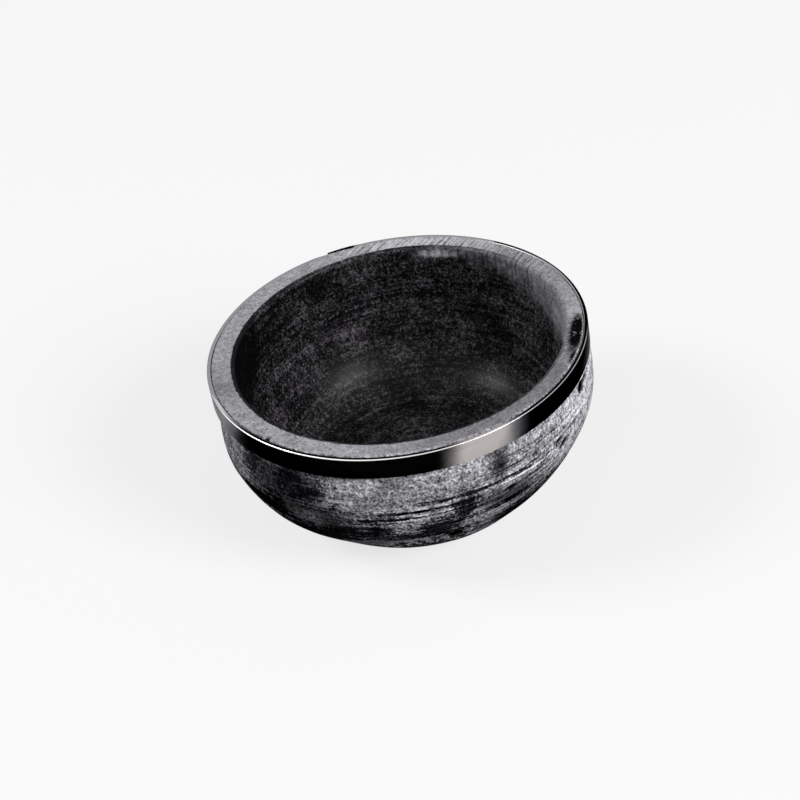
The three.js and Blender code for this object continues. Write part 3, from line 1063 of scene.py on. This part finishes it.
# painted glint on the worn arris, and its near-white wider stretch
EDGE_GLINT = (0.5, 0.5, 0.5, 1.0)
EDGE_GLINT_WIDE = (0.98, 0.98, 0.98, 1.0)
GRAZING_TINT = (0.2, 0.2, 0.2, 1.0)  # of light that grazes the band
TARNISH = (0.08, 0.075, 0.07, 1.0)
HAMMERED = (0.45, 0.43, 0.41, 1.0)
BAND_LINES = (0.5 * MM, 50 * MM)
RIVET_LINES = (0.4 * MM, 6 * MM)
BAND_SMUDGES = 70.0
RIVET_DENTS = 900.0
RIVET_TARNISH = 420.0
BAND_RELIEF = 0.02 * MM
RIVET_RELIEF = 0.06 * MM

# The band's upper edge: where the painted glint on its arris lies across the strip, and how far down its
# grey top reaches
ARRIS_START = 1.7 * MM
ARRIS_FULL = 1.95 * MM
ARRIS_FADE = 0.15 * MM
GREY_TOP_BOTTOM = 1.2 * MM
GREY_TOP_FULL = 0.9 * MM


def band_edge(surface, x, y, z):
    """Where the band's upper edge is lighter grey, where its worn arris has a painted glint, and its colour
    there.
    """
    reach = surface.radius(x, y) - BAND_INNER
    wide = surface.ease(surface.kept("wide_glint_edge"), 0.0, 0.7)
    drop = surface.spread(wide, 0.0, 1.0, 0.2, 0.5) * MM
    arris = surface.ease(z - BAND_TOP + drop, -ARRIS_FADE, ARRIS_FADE)
    arris = surface.ease(reach, ARRIS_START, ARRIS_FULL) * arris
    # painted glint on the worn arris at the front
    bright = arris * surface.ease(surface.kept("worn_glint_edge"), 0.0, 0.15)
    grey_reach = surface.spread(surface.kept("grey_edge"), 0.0, 0.15, 0.3, 2.5) * MM
    # lighter grey on the inner part of the upper edge, reaching furthest across at the back
    upper = surface.ease(z, BAND_TOP - GREY_TOP_BOTTOM, BAND_TOP - GREY_TOP_FULL)
    grey_top = upper * surface.ease(reach - grey_reach, 0.0, ARRIS_FADE, 1.0, 0.0)
    glint = surface.tint(wide, EDGE_GLINT, EDGE_GLINT_WIDE)
    return surface.most(grey_top, bright), surface.tint(bright, EDGE_GREY, glint)


def band_material(shared):
    """Steel painted near-black as a dark reflection, pale in places and along its upper edge as wear and
    painted reflection.
    """
    surface = Surface("blackened_steel", shared)
    x, y, z = surface.parts(surface.place)
    brushed = surface.lined(z, *BAND_LINES)
    smudge = surface.noise(surface.place, BAND_SMUDGES, 4.0, 0.6)
    # bare steel: rubbed wear at the back, painted reflection at the front right and on the left
    bare = surface.frayed(surface.kept("bare"), size=16 * MM, depth=0.15, softness=0.5)
    bare = surface.math("POWER", bare, LIGHTNESS)
    # painted dark reflection over the whole band, with smudges
    black = surface.tint(smudge, DARK_REFLECTION_BLACK, DARK_REFLECTION_SMUDGE)
    steel = surface.tint(brushed, BARE_DARK, BARE_LIGHT)
    # the painted reflection: darker on its right at the front, paler on the left
    steel = surface.tint(surface.ease(surface.kept("reflection_falloff"), 0.0, 0.6), steel, REFLECTION_FALLOFF_TINT)
    steel = surface.tint(surface.ease(surface.kept("grey_steel"), 0.0, 0.2), steel, GREY_TINT)
    # the lighter grey top and the painted glint on the arris
    edge, glint_and_grey_edge = band_edge(surface, x, y, z)
    colour = surface.tint(edge, surface.tint(bare, black, steel), glint_and_grey_edge)
    roughness = surface.spread(brushed + smudge, 0.6, 1.4, 0.2, 0.36)
    surface.shader.inputs["Metallic"].default_value = 1.0
    surface.shader.inputs["Specular Tint"].default_value = GRAZING_TINT
    surface.wear(Finish(colour, roughness, brushed), BAND_RELIEF)
    return surface.material


def rivet_material(shared):
    """Steel of the rivets: dented by a hammer, bright in places and tarnished in others."""
    surface = Surface("rivet_steel", shared)
    _, _, z = surface.parts(surface.place)
    dents = surface.noise(surface.place, RIVET_DENTS, 2.0)
    tarnish = surface.ease(surface.noise(surface.place, RIVET_TARNISH, 3.0, 0.6), 0.35, 0.65)
    scratches = surface.lined(z, *RIVET_LINES)
    colour = surface.tint(tarnish, TARNISH, HAMMERED)
    roughness = surface.spread(scratches, 0.3, 0.7, 0.25, 0.5)
    surface.shader.inputs["Metallic"].default_value = 1.0
    surface.wear(Finish(colour, roughness, dents + scratches * 0.4), RIVET_RELIEF)
    return surface.material


# Pieces
def fitted(piece, slot, *nodes):
    """Puts a finished piece in the place of its nodes."""
    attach(piece, "root")
    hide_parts(*nodes)


def make_bowl(stretch_group, mark_group, stone):
    sizes = {
        "Columns": STONE_COLUMNS, "Lump height": LUMP_HEIGHT, "Groove depth": GROOVE_DEPTH,
        "Score depth": SCORE_DEPTH, "Pit depth": PIT_DEPTH, "Chip depth": CHIP_DEPTH,
        "Bore shift": BORE_SHIFT, "Seed": STONE_SEED,
    }
    bowl = made_piece("turned_bowl", stone_bowl_tree(sizes, stretch_group, mark_group, stone))
    fitted(bowl, "stone", "stone_bowl")


def make_band(mark_group, steel):
    lap_angle = LAP_LENGTH / LAP_OUTER
    step_angle = STEP_LENGTH / LAP_OUTER
    gap_angle = STEP_CLEARANCE / LAP_OUTER
    covered_end = LAP_AZIMUTH - lap_angle / 2
    thicken_start = covered_end + lap_angle + gap_angle
    step_out_end = covered_end + TURN - gap_angle
    sizes = {
        "Inner radius": BAND_INNER, "Thickness": BAND_THICKNESS, "Bottom": BAND_BOTTOM, "Top": BAND_TOP,
        "Edge round": BAND_EDGE_ROUND, "Lap thickness": LAP_THICKNESS, "Lap clearance": LAP_CLEARANCE,
        "Covered end": covered_end, "Outer end": covered_end + TURN + lap_angle,
        "Thicken start": thicken_start, "Thicken end": thicken_start + step_angle,
        "Step out start": step_out_end - step_angle, "Step out end": step_out_end,
        "Steps": BAND_STEPS, "Ripple": BAND_RIPPLE, "Seed": BAND_SEED,
    }
    band = made_piece("rim_band", steel_band_tree(sizes, mark_group, steel))
    fitted(band, "band_steel", "steel_band")


def make_rivets(stretch_group, steel):
    middles = [sum(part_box(name), Vector()) / 2 for name in RIVET_NAMES]
    azimuths = [math.atan2(middle.y, middle.x) for middle in middles]
    profile = rivet_profile(LAP_OUTER - BAND_INNER)
    sizes = {
        "Count": len(RIVET_NAMES), "First azimuth": azimuths[0], "Azimuth step": azimuths[1] - azimuths[0],
        "Head radius": LAP_OUTER, "Height": middles[0].z, "Columns": RIVET_COLUMNS,
    }
    rivets = made_piece("lap_rivets", rivets_tree(sizes, stretch_group, profile, steel))
    fitted(rivets, "rivet_steel", *RIVET_NAMES)


# Studio
CAMERA_ELEVATION = math.radians(36.0)
CAMERA_ROLL = math.radians(-10.47)
CAMERA_DISTANCE = 1.2
PICTURE_SIZE = 800  # pixels
FOCAL_LENGTH = 2099  # pixels
RIM_CENTRE_X = 395.7  # where the rim's centre shows, in pixels from the left
RIM_CENTRE_Y = 338.54  # and from the top
SENSOR_WIDTH = 36.0

WHITE = (0.92, 0.92, 0.92, 1.0)
AMBIENT = (0.2, 0.2, 0.205, 1.0)
FLOOR_BOUNCE = (0.18, 0.18, 0.18, 1.0)
FLOOR_GLOW = 0.8  # share of the floor's whiteness that keeps no shadow
FLOOR_SIZE = 60.0
FLOOR_DROP = 0.3 * MM


def set_camera():
    camera = in_scene("camera", bpy.data.cameras.new("camera"))
    camera.data.sensor_width = SENSOR_WIDTH
    camera.data.lens = FOCAL_LENGTH / PICTURE_SIZE * SENSOR_WIDTH
    level_right = Vector((1.0, 0.0, 0.0))
    level_up = Vector((0.0, math.sin(CAMERA_ELEVATION), math.cos(CAMERA_ELEVATION)))
    back = level_right.cross(level_up)
    right = level_right * math.cos(CAMERA_ROLL) + level_up * math.sin(CAMERA_ROLL)
    up = level_up * math.cos(CAMERA_ROLL) - level_right * math.sin(CAMERA_ROLL)
    metres_per_pixel = CAMERA_DISTANCE / FOCAL_LENGTH
    rim_centre = Vector((0.0, 0.0, RIM_HEIGHT))
    aside = right * (RIM_CENTRE_X - PICTURE_SIZE / 2) * metres_per_pixel
    above = up * (PICTURE_SIZE / 2 - RIM_CENTRE_Y) * metres_per_pixel
    location = rim_centre - aside - above + back * CAMERA_DISTANCE
    axes = Matrix((right, up, back)).transposed()
    camera.matrix_world = Matrix.Translation(location) @ axes.to_4x4()
    bpy.context.scene.camera = camera


def seen_directly(graph):
    """1 for what the camera sees, straight, mirrored or through something clear, and 0 for other light."""
    path = graph.add("ShaderNodeLightPath")
    kinds = ("Is Camera Ray", "Is Glossy Ray", "Is Transmission Ray")
    return graph.most(*[Value(graph, path.outputs[kind]) for kind in kinds])


def set_world():
    world = bpy.data.worlds.new("studio")
    world.use_nodes = True
    bpy.context.scene.world = world
    graph = Graph(world.node_tree)
    colour = graph.tint(seen_directly(graph), AMBIENT, WHITE)
    graph.feed(world.node_tree.nodes["Background"].inputs["Color"], colour)


def make_floor():
    half = FLOOR_SIZE / 2
    mesh = bpy.data.meshes.new("floor")
    corners = [(-half, -half), (half, -half), (half, half), (-half, half)]
    mesh.from_pydata([(x, y, -FLOOR_DROP) for x, y in corners], [], [(0, 1, 2, 3)])
    floor = in_scene("floor", mesh)
    surface = Surface("pale_floor")
    seen = seen_directly(surface)
    surface.tree.nodes.remove(surface.shader)
    lit = surface.out("ShaderNodeBsdfDiffuse", 0, {"Color": surface.tint(seen, FLOOR_BOUNCE, WHITE)})
    glow = surface.out("ShaderNodeEmission", 0, {"Color": WHITE})
    mix = surface.out("ShaderNodeMixShader", 0, {0: seen * FLOOR_GLOW, 1: lit, 2: glow})
    surface.feed(surface.tree.nodes["Material Output"].inputs["Surface"], mix)
    mesh.materials.append(surface.material)


def add_lamp(name, azimuth, elevation, distance, size, power):
    """A soft square lamp that looks at the bowl from an azimuth and elevation in degrees."""
    light = bpy.data.lights.new(name, "AREA")
    light.energy = power
    light.size = size
    lamp = in_scene(name, light)
    turn = math.radians(azimuth)
    rise = math.radians(elevation)
    towards = Vector((math.cos(turn) * math.cos(rise), math.sin(turn) * math.cos(rise), math.sin(rise)))
    target = Vector((0.0, 0.0, RIM_HEIGHT / 2))
    lamp.location = target + towards * distance
    lamp.rotation_euler = towards.to_track_quat("Z", "Y").to_euler()


def set_studio():
    bpy.context.scene.view_settings.view_transform = "Standard"
    set_camera()
    set_world()
    make_floor()
    add_lamp("key", azimuth=318.0, elevation=32.0, distance=4.0, size=1.75, power=170.0)
    add_lamp("left", azimuth=172.0, elevation=42.0, distance=4.0, size=1.5, power=100.0)


def main():
    stretch_group = turned_stretch()
    mark_group = placed_mark()
    shared = Shared(mineral_grain(), turning_lines(), frayed_mark())
    make_bowl(stretch_group, mark_group, stone_material(shared))
    make_band(mark_group, band_material(shared))
    make_rivets(stretch_group, rivet_material(shared))
    set_studio()


main()
